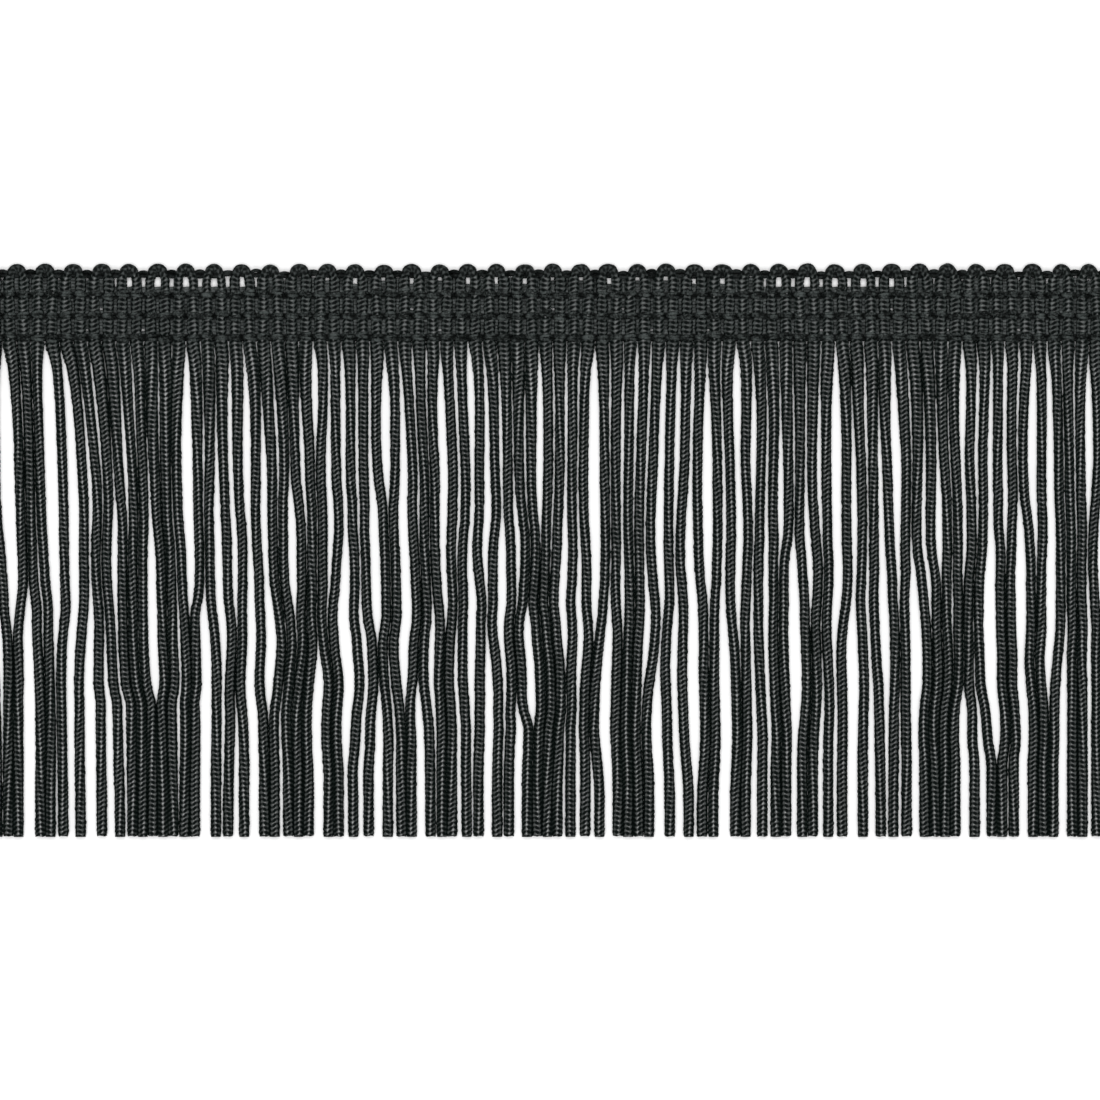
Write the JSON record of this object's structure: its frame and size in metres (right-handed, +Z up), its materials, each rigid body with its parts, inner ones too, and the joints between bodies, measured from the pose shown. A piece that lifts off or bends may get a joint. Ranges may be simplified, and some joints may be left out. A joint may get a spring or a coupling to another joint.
{
  "type": "chainette fringe trim",
  "caption": "Cut length of black chainette fringe: a ribbed picot-edged heading bound by rows of chain stitch, with cut cord strands lying below it.",
  "frame": {"origin": "on the surface that the trim lies on, under the middle of its length and of its drop", "axes": "+X along the trim, +Y from the cut tips up to the picot edge, +Z up out of the face that shows"},
  "size_m": [0.205, 0.1016, 0.0021],
  "materials": {
    "chainette_cord": "black rayon chainette, softly lustrous",
    "chain_thread": "black binding thread, matt"
  },
  "bodies": {
    "root": {"heading": "chainette_cord", "skirt": "chainette_cord", "binding_chain_1": "chain_thread", "binding_chain_2": "chain_thread", "binding_chain_3": "chain_thread", "binding_chain_4": "chain_thread"}
  },
  "joints": []
}
